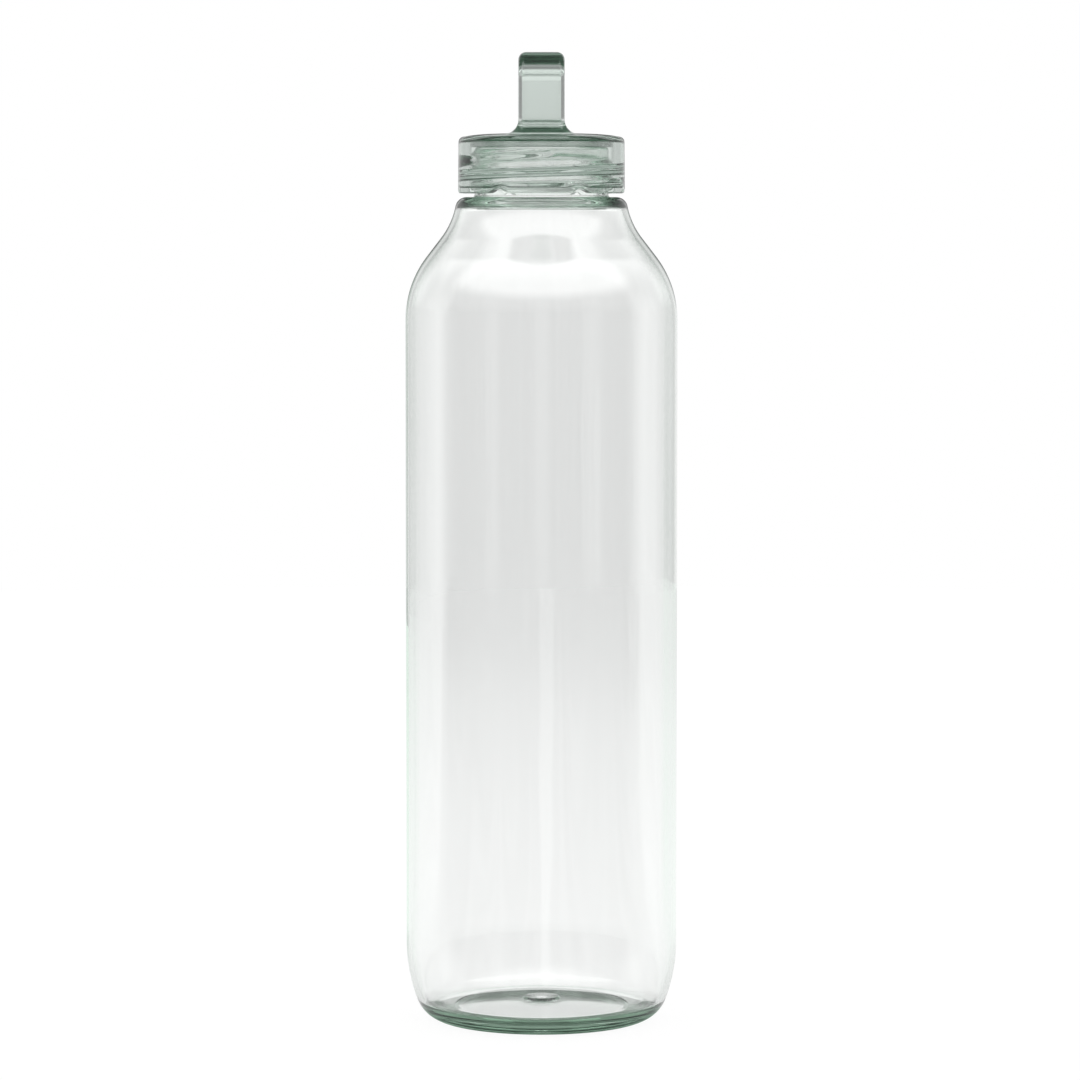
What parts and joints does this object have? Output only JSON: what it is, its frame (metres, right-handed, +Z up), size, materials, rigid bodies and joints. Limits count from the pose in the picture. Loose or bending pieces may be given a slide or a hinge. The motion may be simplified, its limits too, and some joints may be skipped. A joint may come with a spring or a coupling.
{
  "type": "screw-cap water bottle",
  "caption": "Clear cylindrical water bottle with a threaded neck, a screw cap with an integral carrying loop, and a sealing gasket.",
  "frame": {"origin": "centre of the standing ring, on the table plane", "axes": "+Z up along the bottle's axis, towards the loop; the loop's opening runs along X, so its wide face looks to -Y and +Y"},
  "size_m": [0.08, 0.08, 0.2852],
  "materials": {
    "clear_body": "gloss",
    "clear_cap": "gloss",
    "clear_seal": "satin"
  },
  "bodies": {
    "bottle": {"bottle": "clear_body"},
    "seal": {"gasket": "clear_seal"},
    "cap": {"cap": "clear_cap"}
  },
  "joints": [
    {"name": "cap_lift", "type": "slide", "parent": "bottle", "child": "seal", "axis": [0, 0, 1], "range_m": [0, 0.017]},
    {"name": "cap_turn", "type": "hinge", "parent": "seal", "child": "cap", "pos_m": [0, 0, 0.25], "axis": [0, 0, 1], "range_deg": [0, 1440]}
  ],
  "couplings": [
    {"joint": "cap_lift", "follows": "cap_turn", "m_per_rad": 0.00066845}
  ]
}
